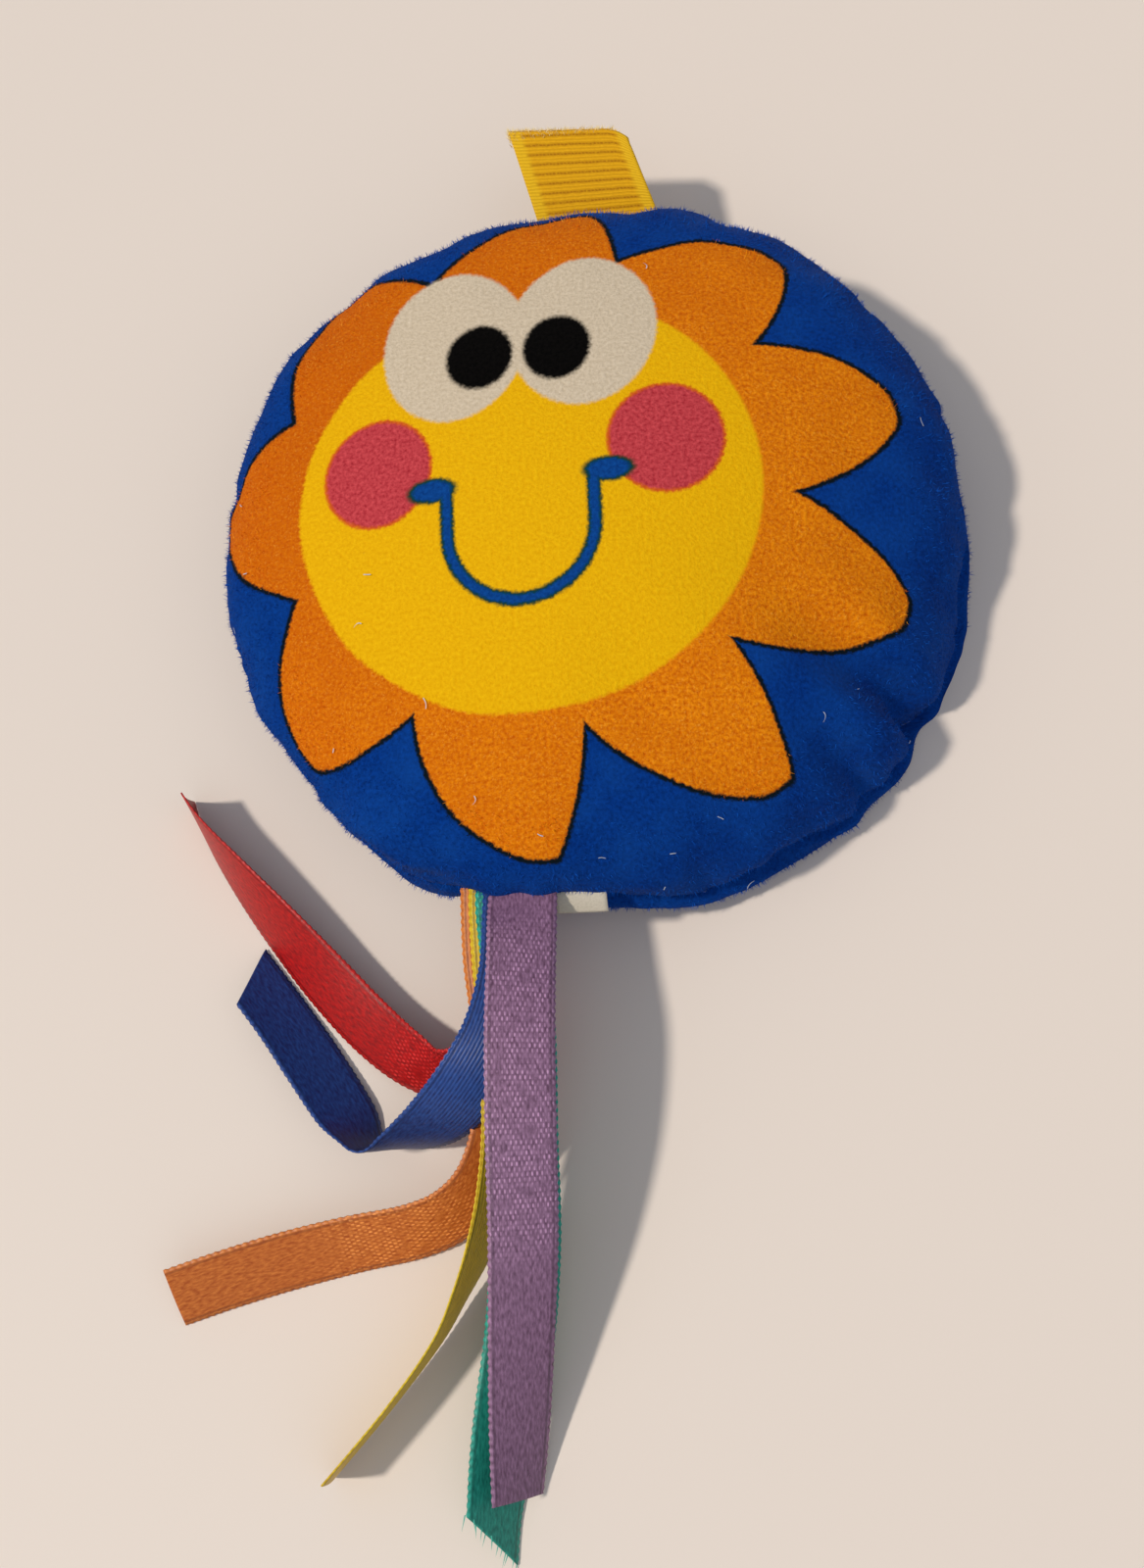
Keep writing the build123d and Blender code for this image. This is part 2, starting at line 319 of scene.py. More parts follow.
# The print is drawn in the cloth's own millimetres, before it was sewn, so it
# bends over the edge with the cloth. The sun's plain face is built from
# circles, ovals and one U, and each ray is one lopsided point of the border.
cloth_uv = shell.loops.layers.uv.new("cloth_mm")
for face in shell.faces:
    for loop in face.loops:
        loop[cloth_uv].uv = loop.vert[cut_place].xy / MM


def plush(name, printed, painted_edge_highlight=0.0):
    """Brushed polyester plush: a short even nap that is matt, with a pale glow at its edges.

    Single fibres are too fine to show, so clumps of 0.3 to 1 mm stand for them. Raised
    fibres let light through, so they get a painted highlight, a shade brighter than the cloth they
    stand on.
    """
    material, tree = start_material(name)
    flat = add_node(tree, "UVMap", uv_map="cloth_mm").outputs["UV"]
    clumps = add_node(tree, "TexNoise", Vector=flat, Scale=1.7, Detail=4, Roughness=0.62)
    clumps = add_node(tree, "MapRange", Value=clumps, From_Min=0.28, From_Max=0.72)
    strands = add_node(tree, "TexNoise", Vector=flat, Scale=3.4, Detail=2, Distortion=1.5)
    patches = add_node(tree, "TexNoise", Vector=flat, Scale=0.14, Detail=4)
    patches = add_node(tree, "MapRange", Value=patches, From_Min=0.3, From_Max=0.7)
    colour = add_node(tree, "Mix", clumps, linear("#02225E"), linear("#073C92"), data_type="RGBA")
    amount = add_node(tree, "Math", patches, 0.35, operation="MULTIPLY")
    colour = add_node(tree, "Mix", amount, colour, linear("#134C9C"), data_type="RGBA")
    if printed:
        # The dye creeps along single fibres, so each printed edge is a little ragged.
        ragged = add_node(tree, "TexNoise", Vector=flat, Scale=1.7, Detail=4)
        shift = add_node(
            tree, "VectorMath", ragged.outputs["Color"], (0.9, 0.9, 0), (-0.45, -0.45, 0),
            operation="MULTIPLY_ADD",
        )
        inked = add_node(tree, "VectorMath", flat, shift, operation="ADD")
        # Rays: nine points on a circle, with a thin dark border outside them. They crowd a
        # little towards one side, lean over from it, and are longer at the lower right.
        ray_count, ray_step, longest_way = 9, math.tau / 9, math.radians(55)
        ray_base, ray_height, ray_swell, ray_fullness = 39.9, 16.3, 5.3, 1.36
        centred = add_node(tree, "VectorMath", inked, (6.9, -4.0, 0), operation="ADD")
        parts = add_node(tree, "SeparateXYZ", Vector=centred)
        radius = add_node(tree, "VectorMath", centred, operation="LENGTH")
        radius = radius.outputs["Value"]
        angle = add_node(tree, "Math", parts.outputs["Y"], parts.outputs["X"], operation="ARCTAN2")
        crowd = add_node(tree, "Math", angle, longest_way, operation="SUBTRACT")
        crowd = add_node(tree, "Math", crowd, operation="COSINE")
        turns = add_node(
            tree, "Math", angle, -1 / ray_step, ray_count * 77.2 / 360, operation="MULTIPLY_ADD"
        )
        turns = add_node(
            tree, "Math", crowd, -ray_count * 7.2 / 360, turns, operation="MULTIPLY_ADD"
        )
        ray_angle = add_node(tree, "Math", turns, operation="FLOOR")
        ray_angle = add_node(
            tree, "Math", ray_angle, -ray_step, math.radians(57), operation="MULTIPLY_ADD"
        )
        tip = add_node(tree, "Math", ray_angle, math.radians(-11), operation="ADD")
        tip = add_node(tree, "Math", tip, operation="SINE")
        tip = add_node(tree, "Math", tip, 0.223, 0.49, operation="MULTIPLY_ADD")
        swell = add_node(tree, "Math", ray_angle, longest_way, operation="ADD")
        swell = add_node(tree, "Math", swell, operation="COSINE")
        height = add_node(tree, "Math", swell, ray_swell, ray_height, operation="MULTIPLY_ADD")
        past_tip = add_node(tree, "Math", turns, operation="FRACT")
        past_tip = add_node(tree, "Math", past_tip, tip, operation="SUBTRACT")
        is_past = add_node(tree, "Math", past_tip, 0.0, operation="GREATER_THAN")
        flank_width = add_node(tree, "Math", tip, -2.0, 1.0, operation="MULTIPLY_ADD")
        flank_width = add_node(tree, "Math", is_past, flank_width, tip, operation="MULTIPLY_ADD")
        flank = add_node(tree, "Math", past_tip, operation="ABSOLUTE")
        flank = add_node(tree, "Math", flank, flank_width, operation="DIVIDE")
        drop = add_node(tree, "Math", flank, ray_fullness, operation="POWER")
        # Each point is blunt, as the height is held a little short of it.
        rise = add_node(tree, "Math", 1.0, drop, operation="SUBTRACT")
        rise = add_node(tree, "Math", rise, height, operation="MULTIPLY")
        blunt = add_node(tree, "Math", height, 0.95, operation="MULTIPLY")
        blunt = add_node(tree, "Math", rise, blunt, 1.6, operation="SMOOTH_MIN")
        border = add_node(tree, "Math", blunt, ray_base, operation="ADD")
        slope = add_node(tree, "Math", flank, ray_fullness - 1, operation="POWER")
        slope = add_node(tree, "Math", slope, flank_width, operation="DIVIDE")
        rise_rate = add_node(
            tree, "Math", height, ray_fullness / ray_step, operation="MULTIPLY"
        )
        slope = add_node(tree, "Math", slope, rise_rate, operation="MULTIPLY")
        steepness = add_node(tree, "Math", slope, radius, operation="DIVIDE")
        steepness = add_node(tree, "Math", steepness, steepness, 1.0, operation="MULTIPLY_ADD")
        steepness = add_node(tree, "Math", steepness, operation="SQRT")
        inside = add_node(tree, "Math", border, radius, operation="SUBTRACT")
        inside = add_node(tree, "Math", inside, steepness, operation="DIVIDE")
        orange = add_node(
            tree, "Mix", clumps, linear("#BC5204"), linear("#FC9C12"), data_type="RGBA"
        )
        # Painted shade: the orange is darker towards the upper left of the face.
        painted_shade_side = add_node(tree, "Math", angle, math.radians(150), operation="SUBTRACT")
        painted_shade_side = add_node(tree, "Math", painted_shade_side, operation="COSINE")
        painted_shade_side = add_node(tree, "Math", painted_shade_side, 0.3, 0.3, operation="MULTIPLY_ADD")
        orange = add_node(tree, "Mix", painted_shade_side, orange, linear("#B84A06"), data_type="RGBA")
        amount = add_node(tree, "Math", patches, 0.3, operation="MULTIPLY")
        orange = add_node(tree, "Mix", amount, orange, linear("#BE5206"), data_type="RGBA")
        fleck = add_node(tree, "Math", strands, 0.64, operation="SUBTRACT")
        fleck = add_node(tree, "MapRange", fleck, -0.06, 0.06, interpolation_type="SMOOTHSTEP")
        amount = add_node(tree, "Math", fleck, 0.35, operation="MULTIPLY")
        orange = add_node(tree, "Mix", amount, orange, linear("#F8B44A"), data_type="RGBA")
        dark_line = add_node(tree, "Math", inside, 0.75, operation="ADD")
        amount = add_node(tree, "MapRange", dark_line, -0.25, 0.25, interpolation_type="SMOOTHSTEP")
        colour = add_node(tree, "Mix", amount, colour, linear("#0C161C"), data_type="RGBA")
        amount = add_node(tree, "MapRange", inside, -0.25, 0.25, interpolation_type="SMOOTHSTEP")
        colour = add_node(tree, "Mix", amount, colour, orange, data_type="RGBA")
        # The face: each shape is an oval's middle, half sizes, turn, two colours and edge.
        yellow = ("#DCA006", "#F0BC10")
        cream = ("#BFAE94", "#DBCBB3")
        pink = ("#9C222E", "#D65258")
        pink_edge = ("#C0441A", "#DA6A20")
        ovals = [
            ((0.3, -1.9), (35.8, 34.5), 0, yellow, 0.4),
            ((-10.1, 25.6), (11.5, 14.4), 0, cream, 0.35),
            ((10.1, 25.6), (11.5, 14.4), 0, cream, 0.35),
            ((-6.1, 22.4), (5.3, 6.1), 0, ("#030303", "#0D0B0A"), 0.5),
            ((6.1, 22.4), (5.3, 6.1), 0, ("#030303", "#0D0B0A"), 0.5),
            ((-22.3, 4.4), (8.9, 9.3), 0, pink_edge, 0.3),
            ((22.3, 4.4), (8.9, 9.3), 0, pink_edge, 0.3),
            ((-22.3, 4.4), (8.4, 8.8), 0, pink, 0.3),
            ((22.3, 4.4), (8.4, 8.8), 0, pink, 0.3),
        ]
        face = add_node(
            tree, "Mapping", Vector=inked, Location=(-7.6, 3.0, 0),
            Rotation=(0, 0, math.radians(2)), vector_type="TEXTURE",
        )
        for middle, half, turn, (low, high), softness in ovals:
            oval = add_node(
                tree, "Mapping", Vector=face, Location=(*middle, 0), Rotation=(0, 0, turn),
                Scale=(*half, 1), vector_type="TEXTURE",
            )
            reach = add_node(tree, "VectorMath", oval, operation="LENGTH")
            inside = add_node(
                tree, "Math", reach.outputs["Value"], -half[0], half[0], operation="MULTIPLY_ADD"
            )
            shade = add_node(tree, "Mix", clumps, linear(low), linear(high), data_type="RGBA")
            amount = add_node(
                tree, "MapRange", inside, -softness, softness, interpolation_type="SMOOTHSTEP"
            )
            colour = add_node(tree, "Mix", amount, colour, shade, data_type="RGBA")
        # The smile is a U: a half circle with straight ends, and an oval cap at each end.
        smile_radius, smile_y, smile_half = 11.3, -8.2, 1.15
        cap_reach, cap_half, cap_length = 13.6, 2.15, 4.0
        parts = add_node(tree, "SeparateXYZ", Vector=face)
        drop = add_node(tree, "Math", parts.outputs["Y"], smile_y, operation="SUBTRACT")
        drop = add_node(tree, "Math", drop, 0.0, operation="MINIMUM")
        flat_reach = add_node(
            tree, "Math", parts.outputs["X"], parts.outputs["X"], operation="MULTIPLY"
        )
        reach = add_node(tree, "Math", drop, drop, flat_reach, operation="MULTIPLY_ADD")
        reach = add_node(tree, "Math", reach, operation="SQRT")
        offset = add_node(tree, "Math", reach, smile_radius, operation="SUBTRACT")
        offset = add_node(tree, "Math", offset, operation="ABSOLUTE")
        inside = add_node(tree, "Math", smile_half, offset, operation="SUBTRACT")
        below_caps = add_node(tree, "Math", 0.4, parts.outputs["Y"], operation="SUBTRACT")
        inside = add_node(tree, "Math", inside, below_caps, operation="MINIMUM")
        for cap_x in (-cap_reach, cap_reach):
            cap = add_node(
                tree, "Mapping", Vector=face, Location=(cap_x, -0.3, 0),
                Scale=(cap_length, cap_half, 1), vector_type="TEXTURE",
            )
            reach = add_node(tree, "VectorMath", cap, operation="LENGTH")
            cap_inside = add_node(
                tree, "Math", reach.outputs["Value"], -cap_half, cap_half,
                operation="MULTIPLY_ADD",
            )
            inside = add_node(tree, "Math", inside, cap_inside, operation="MAXIMUM")
        amount = add_node(tree, "MapRange", inside, -0.35, 0.35, interpolation_type="SMOOTHSTEP")
        colour = add_node(tree, "Mix", amount, colour, linear("#0C3A28"), data_type="RGBA")
        core = add_node(tree, "Math", inside, 0.5, operation="SUBTRACT")
        core = add_node(tree, "MapRange", core, -0.3, 0.3, interpolation_type="SMOOTHSTEP")
        shade = add_node(
            tree, "Mix", clumps, linear("#083272"), linear("#104C9A"), data_type="RGBA"
        )
        colour = add_node(tree, "Mix", core, colour, shade, data_type="RGBA")
    # Painted highlight: the raised fibres' colour is screened over itself, a shade brighter.
    if painted_edge_highlight:
        colour = add_node(
            tree, "Mix", painted_edge_highlight, colour, colour, data_type="RGBA", blend_type="SCREEN"
        )
    nap = add_node(tree, "Math", strands, 0.5, clumps, operation="MULTIPLY_ADD")
    bump = add_node(tree, "Bump", Height=nap, Strength=0.36, Distance=0.45 * MM)
    shader = add_node(
        tree, "BsdfPrincipled", Base_Color=colour, Normal=bump, Roughness=0.95, Sheen_Weight=0.03,
        Sheen_Roughness=0.4, Specular_IOR_Level=0.02,
    )
    add_node(tree, "OutputMaterial", Surface=shader)
    return material


panel_looks = {
    "front": ("plush", plush("printed_brushed_plush", True)),
    "back": ("plush_plain", plush("dyed_brushed_plush", False)),
}
allowance_width = 6.5 * MM
for side, (slot_name, material) in panel_looks.items():
    panel = shell.copy()
    side_layer = panel.faces.layers.int["is_back"]
    other = [face for face in panel.faces if face[side_layer] == (side == "front")]
    bmesh.ops.delete(panel, geom=other, context="FACES")
    # The seam allowance is turned in, and runs flat towards the middle of the pillow.
    # A full crease keeps the two rims together when the cloth is smoothed.
    crease = panel.edges.layers.float.new("crease_edge")
    rim_edges = [edge for edge in panel.edges if edge.is_boundary]
    for edge in rim_edges:
        edge[crease] = 1.0
    turned = bmesh.ops.extrude_edge_only(panel, edges=rim_edges)["geom"]
    for vert in (item for item in turned if isinstance(item, bmesh.types.BMVert)):
        vert.co.xy *= 1 - allowance_width / vert.co.xy.length
        vert.co.z += (0.3 if side == "front" else -0.3) * MM
    for face in panel.faces:
        face.smooth = True
    panel_mesh = bpy.data.meshes.new(f"{side}_panel_cloth")
    panel.to_mesh(panel_mesh)
    panel.free()
    panel_mesh.materials.append(material)
    panel_object = bpy.data.objects.new(f"{side}_panel_cloth", panel_mesh)
    bpy.context.scene.collection.objects.link(panel_object)
    smoother = panel_object.modifiers.new("subdivision", "SUBSURF")
    smoother.levels = smoother.render_levels = 1
    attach(panel_object, "pillow")
    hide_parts(f"{side}_panel")

# ---- Seam thread ----
# Blue spun polyester thread, lock-stitched round the pillow through both
# panels. It lies at the bottom of the groove, so only its twist catches light.
spun_polyester, tree = start_material("spun_polyester_thread")
place = add_node(tree, "TexCoord").outputs["Object"]
twist = add_node(tree, "TexWave", Vector=place, Scale=500, Distortion=2, bands_direction="DIAGONAL")
thread_colour = add_node(tree, "Mix", twist, linear("#0B2458"), linear("#2A55A8"), data_type="RGBA")
bump = add_node(tree, "Bump", Height=twist, Strength=0.5, Distance=0.15 * MM)
shader = add_node(tree, "BsdfPrincipled", Base_Color=thread_colour, Normal=bump, Roughness=0.6)
add_node(tree, "OutputMaterial", Surface=shader)
rim = [vert for vert in shell.verts if vert[cut_place].length > cloth_radius - 0.01 * MM]
rim.sort(key=lambda vert: math.atan2(vert[cut_place].y, vert[cut_place].x))
thread_curve = bpy.data.curves.new("seam_thread_line", "CURVE")
thread_curve.dimensions = "3D"
thread_curve.bevel_depth = 0.3 * MM
thread_curve.bevel_resolution = 2
stitches = thread_curve.splines.new("POLY")
stitches.points.add(len(rim) - 1)
for stitch, vert in zip(stitches.points, rim):
    stitch.co = (*(vert.co - vert[cut_place].normalized() * 0.3 * MM), 1)
stitches.use_cyclic_u = True
curve_object = bpy.data.objects.new("seam_thread_line", thread_curve)
bpy.context.scene.collection.objects.link(curve_object)
swept = curve_object.evaluated_get(bpy.context.evaluated_depsgraph_get())
thread_mesh = bpy.data.meshes.new_from_object(swept)
bpy.data.objects.remove(curve_object)
thread_mesh.materials.clear()
thread_mesh.materials.append(spun_polyester)
thread_object = bpy.data.objects.new("seam_thread_line", thread_mesh)
bpy.context.scene.collection.objects.link(thread_object)
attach(thread_object, "pillow")
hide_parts("seam_thread")

# ---- Filling ----
# Loose polyester fibre, packed by hand above and below the capsule through
# the last gap in the seam. It is white and dull, and matted in soft tufts.
carded_fibre, tree = start_material("carded_polyester_fibre")
place = add_node(tree, "TexCoord").outputs["Object"]
tufts = add_node(tree, "TexNoise", Vector=place, Scale=220, Detail=8, Roughness=0.7)
fibre_colour = add_node(tree, "Mix", tufts, linear("#BDB9B0"), linear("#FFFEFA"), data_type="RGBA")
bump = add_node(tree, "Bump", Height=tufts, Strength=0.9, Distance=1.5 * MM)
shader = add_node(
    tree, "BsdfPrincipled", Base_Color=fibre_colour, Normal=bump, Roughness=0.95, Sheen_Weight=0.3
)
add_node(tree, "OutputMaterial", Surface=shader)
filling_gap = 1.4 * MM
pocket_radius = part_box("rattle_cup")[1].x + 0.2 * MM
pocket_ends = {
    "front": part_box("rattle_lid")[1].z + 0.2 * MM, "back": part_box("rattle_cup")[0].z - 0.2 * MM,
}
shell.normal_update()
for side, pocket_end in pocket_ends.items():
    filling = shell.copy()
    for vert in filling.verts:
        vert.co -= vert.normal * filling_gap
        vert.co.xy *= 0.96
        vert.co.z = max(vert.co.z, pillow_low.z + 0.6 * MM)
    side_layer = filling.faces.layers.int["is_back"]
    other = [face for face in filling.faces if face[side_layer] == (side == "front")]
    bmesh.ops.delete(filling, geom=other, context="FACES")
    # The flat side runs in to the capsule, and is pushed in round it as a pocket.
    open_edges = [edge for edge in filling.edges if edge.is_boundary]
    for height in (seam_z, pocket_end):
        grown = bmesh.ops.extrude_edge_only(filling, edges=open_edges)["geom"]
        for vert in (item for item in grown if isinstance(item, bmesh.types.BMVert)):
            vert.co.xy *= pocket_radius / vert.co.xy.length
            vert.co.z = height
        open_edges = [item for item in grown if isinstance(item, bmesh.types.BMEdge)]
    bmesh.ops.edgeloop_fill(filling, edges=[edge for edge in open_edges if edge.is_boundary])
    bmesh.ops.recalc_face_normals(filling, faces=filling.faces)
    for face in filling.faces:
        face.smooth = True
    filling_mesh = bpy.data.meshes.new(f"{side}_filling_fibre")
    filling.to_mesh(filling_mesh)
    filling.free()
    filling_mesh.materials.append(carded_fibre)
    filling_object = bpy.data.objects.new(f"{side}_filling_fibre", filling_mesh)
    bpy.context.scene.collection.objects.link(filling_object)
    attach(filling_object, "pillow")
    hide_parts(f"{side}_filling")

# ---- Nap at the pillow's edge ----
# The plush's own fibres, raised round the seam where the cloth bends most.
# Each stands for a few fibres of a millimetre, with the colour of its root and a painted highlight
# over it.
fibre_count = 26000
scatter = random.Random(11)
nap = bmesh.new()
nap_uv = nap.loops.layers.uv.new("cloth_mm")
rim_faces = [
    face for face in shell.faces
    if face.verts[0][cut_place].length > cloth_radius - 16 * MM
    and face.calc_center_median().z > 1.5 * MM
]
for _ in range(fibre_count):
    face = scatter.choice(rim_faces)
    corner = face.verts[scatter.randrange(4)]
    root = corner.co.lerp(face.calc_center_median(), scatter.random())
    sway = Vector([scatter.uniform(-1, 1) for _ in range(3)])
    along = (face.normal + sway * 0.7).normalized()
    breadth = along.cross(Vector([scatter.uniform(-1, 1) for _ in range(3)])).normalized()
    length = scatter.uniform(0.3, 1.0) * MM
    fibre = nap.faces.new([
        nap.verts.new(root - along * 0.1 * MM - breadth * 0.07 * MM),
        nap.verts.new(root - along * 0.1 * MM + breadth * 0.07 * MM),
        nap.verts.new(root + along * length),
    ])
    fibre.material_index = face[is_back]
    for loop in fibre.loops:
        loop[nap_uv].uv = corner[cut_place].xy / MM
nap_mesh = bpy.data.meshes.new("edge_nap")
nap.to_mesh(nap_mesh)
nap.free()
nap_mesh.materials.append(plush("printed_plush_fibre_painted_highlight", True, painted_edge_highlight=0.8))
nap_mesh.materials.append(plush("dyed_plush_fibre_painted_highlight", False, painted_edge_highlight=0.8))
nap_object = bpy.data.objects.new("edge_nap", nap_mesh)
bpy.context.scene.collection.objects.link(nap_object)
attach(nap_object, "pillow")

# Stray white fibres from the filling cling to the plush, mostly near the seam.
lint_fibre, tree = start_material("stray_filling_fibre")
shader = add_node(
    tree, "BsdfPrincipled", Base_Color=linear("#B9BFC8"), Roughness=0.9, Specular_IOR_Level=0.1
)
add_node(tree, "OutputMaterial", Surface=shader)
front_faces = [face for face in shell.faces if face.normal.z > 0.3]
lint_count = 30
lint = bmesh.new()
for _ in range(lint_count):
    nearest = max(scatter.sample(front_faces, 3), key=lambda face: face.verts[0][cut_place].length)
    place = nearest.calc_center_median() + nearest.normal * 0.35 * MM
    heading = nearest.normal.orthogonal()
    heading.rotate(Matrix.Rotation(scatter.uniform(0, math.tau), 3, nearest.normal))
    bend = heading.cross(nearest.normal) * scatter.uniform(-0.5, 0.5)
    breadth = heading.cross(nearest.normal) * 0.05 * MM
    edge = None
    for _ in range(scatter.randint(3, 7)):
        pair = [lint.verts.new(place - breadth), lint.verts.new(place + breadth)]
        if edge:
            lint.faces.new([edge[0], edge[1], pair[1], pair[0]])
        edge = pair
        place = place + heading * 0.28 * MM
        heading = (heading + bend).normalized()
lint_mesh = bpy.data.meshes.new("plush_lint")
lint.to_mesh(lint_mesh)
lint.free()
shell.free()
lint_mesh.materials.append(lint_fibre)
lint_object = bpy.data.objects.new("plush_lint", lint_mesh)
bpy.context.scene.collection.objects.link(lint_object)
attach(lint_object, "pillow")


# ---- Hang tab ----
# A loop of ribbed polyester tape, 20 mm wide, folded once and caught in the
# seam. Its ribs run across it, and years of handling have made it fuzzy.
def bind_strip(
    name, path, across_at, width, columns, rows, thickness, curl=0.0, loops=0.0, slant=0.0
):
    """A woven strip: a grid laid along a smooth curve through the path's points.

    across_at gives the strip's across direction at each point, and the UV map strip_mm
    holds millimetres across and along. Loops is how far the woven edge's loops stand out,
    and slant how much shorter the strip's left edge is cut than its right.
    """
    loop_pitch = 1.15 * MM
    samples = []
    for index in range(len(path) - 1):
        last = len(path) - 1
        ends = [max(index - 1, 0), index, index + 1, min(index + 2, last)]
        for step in range(12 + (index == last - 1)):
            t = step / 12
            weights = (
                (-t**3 + 2 * t**2 - t) / 2, (3 * t**3 - 5 * t**2 + 2) / 2,
                (-3 * t**3 + 4 * t**2 + t) / 2, (t**3 - t**2) / 2,
            )
            point = sum((path[i] * w for i, w in zip(ends, weights)), Vector())
            across = sum((across_at[i] * w for i, w in zip(ends, weights)), Vector())
            samples.append((point, across.normalized()))
    travelled = [0.0]
    for (before, _), (after, _) in zip(samples, samples[1:]):
        travelled.append(travelled[-1] + (after - before).length)
    strip = bmesh.new()
    bmesh.ops.create_grid(strip, x_segments=columns, y_segments=rows, size=1)
    uv = strip.loops.layers.uv.new("strip_mm")
    flat = {vert: (vert.co.x, (vert.co.y + 1) / 2) for vert in strip.verts}
    for face in strip.faces:
        for loop in face.loops:
            u, v = flat[loop.vert]
            cut_length = travelled[-1] - slant * (0.5 + 0.5 * u)
            loop[uv].uv = (u * width / 2 / MM, v * cut_length / MM)
        face.smooth = True
    for vert, (u, v) in flat.items():
        distance = v * (travelled[-1] - slant * (0.5 + 0.5 * u))
        index = next((i for i, d in enumerate(travelled[1:], 1) if d >= distance), len(samples) - 1)
        share = (distance - travelled[index - 1]) / (travelled[index] - travelled[index - 1])
        point = samples[index - 1][0].lerp(samples[index][0], share)
        across = samples[index - 1][1].lerp(samples[index][1], share).normalized()
        forward = (samples[index][0] - samples[index - 1][0]).normalized()
        normal = across.cross(forward).normalized()
        across = forward.cross(normal)
        stretch = 1.0
        if abs(u) > 0.99:
            stretch += loops / (width / 2) * (0.5 + 0.5 * math.cos(math.tau * distance / loop_pitch))
        lift = curl * (1 - u * u)
        vert.co = point + across * u * stretch * width / 2 + normal * lift
    strip_mesh = bpy.data.meshes.new(name)
    strip.to_mesh(strip_mesh)
    strip.free()
    strip_object = bpy.data.objects.new(name, strip_mesh)
    bpy.context.scene.collection.objects.link(strip_object)
    wall = strip_object.modifiers.new("wall", "SOLIDIFY")
    wall.thickness = thickness
    wall.offset = 0
    return strip_object, travelled[-1]


tab_width, tab_tape = 20 * MM, 0.6 * MM
tab_shift, tab_shear = 1.3 * MM, 4.8 / 16
tab_turn, tab_rise = 0.1, 4.0
tab_root = Vector((tab_shift + 0.4 * MM, 53.4 * MM, seam_z))
tab_path = []
for out, up in (
    (0.0, -0.5), (4.2, -0.5), (9.0, -0.4), (14.0, -0.3), (18.9, -0.35),
    (19.9, 0.3), (18.8, 0.95), (14.0, 0.9), (9.0, 0.7), (4.2, 0.55), (0.0, 0.5),
):
    rise = tab_rise * max(0.0, out - 4.0) / 16
    tab_path.append(tab_root + Vector((0, out * MM, (up + rise) * MM)))
tab, tab_length = bind_strip(
    "hang_tab_tape", tab_path, [Vector((1, 0, 0))] * len(tab_path), tab_width, 40, 110, tab_tape
)
# The loop leans to one side, its end is a little askew, and its corner is worn round.
for vert in tab.data.vertices:
    aside = vert.co.x - tab_shift
    out = max(0.0, vert.co.y - 58.7 * MM)
    worn = max(0.0, aside - 6.5 * MM) / (3.5 * MM)
    vert.co.y -= (out / (16 * MM)) * (aside * tab_turn + 1.6 * MM * worn * worn)
    vert.co.x -= out * tab_shear
grosgrain, tree = start_material("woven_polyester_tape")
strip_uv = add_node(tree, "UVMap", uv_map="strip_mm").outputs["UV"]
parts = add_node(tree, "SeparateXYZ", Vector=strip_uv)
wobble = add_node(tree, "TexNoise", Vector=strip_uv, Scale=0.9, Detail=3)
bent = add_node(tree, "Math", wobble, 0.3, parts.outputs["Y"], operation="MULTIPLY_ADD")
weft = add_node(tree, "TexNoise", Vector=strip_uv, Scale=2.2, Detail=4, Roughness=0.7)
# Fine ribs every 0.54 mm. Every third is a sunken line of dots, which stops short of the
# tape's two edges.
grooves = []
for place, pitch, sharpness in ((bent, 0.54, 0.6), (bent, 1.62, 0.22), (parts.outputs["X"], 0.6, 0.5)):
    phase = add_node(tree, "Math", place, math.tau / pitch, operation="MULTIPLY")
    phase = add_node(tree, "Math", phase, operation="SINE")
    grooves.append(
        add_node(tree, "MapRange", Value=phase, From_Min=-1, From_Max=-1 + 2 * sharpness)
    )
rib, line, gap = grooves
off_middle = add_node(tree, "Math", parts.outputs["X"], operation="ABSOLUTE")
border = add_node(tree, "MapRange", Value=off_middle, From_Min=7.4, From_Max=8.4)
dots = add_node(tree, "MapRange", Value=weft, From_Min=0.5, From_Max=0.68)
dots = add_node(tree, "Math", dots, border, operation="MAXIMUM")
gap = add_node(tree, "Math", gap, -0.5, 0.5, operation="MULTIPLY_ADD")
dots = add_node(tree, "Math", dots, gap, operation="MAXIMUM")
line = add_node(tree, "Math", line, dots, operation="MAXIMUM")
tape_colour = add_node(tree, "Mix", weft, linear("#CE8C0C"), linear("#EEB81C"), data_type="RGBA")
selvedge = add_node(tree, "Math", border, 0.5, operation="MULTIPLY")
tape_colour = add_node(tree, "Mix", selvedge, tape_colour, linear("#ECC428"), data_type="RGBA")
tape_colour = add_node(tree, "Mix", line, linear("#A66C0C"), tape_colour, data_type="RGBA")
# Painted shade darkens the groove between the fine ribs.
rib_groove_painted_shade = add_node(tree, "MapRange", Value=rib, To_Min=0.3, To_Max=0.0)
tape_colour = add_node(tree, "Mix", rib_groove_painted_shade, tape_colour, linear("#B07A0A"), data_type="RGBA")
height = add_node(tree, "Math", line, 1.5, rib, operation="MULTIPLY_ADD")
bump = add_node(tree, "Bump", Height=height, Strength=0.5, Distance=0.2 * MM)
shader = add_node(
    tree, "BsdfPrincipled", Base_Color=tape_colour, Normal=bump, Roughness=0.8,
    Specular_IOR_Level=0.1,
)
add_node(tree, "OutputMaterial", Surface=shader)
tab.data.materials.append(grosgrain)
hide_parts("hang_tab")
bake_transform(tab)
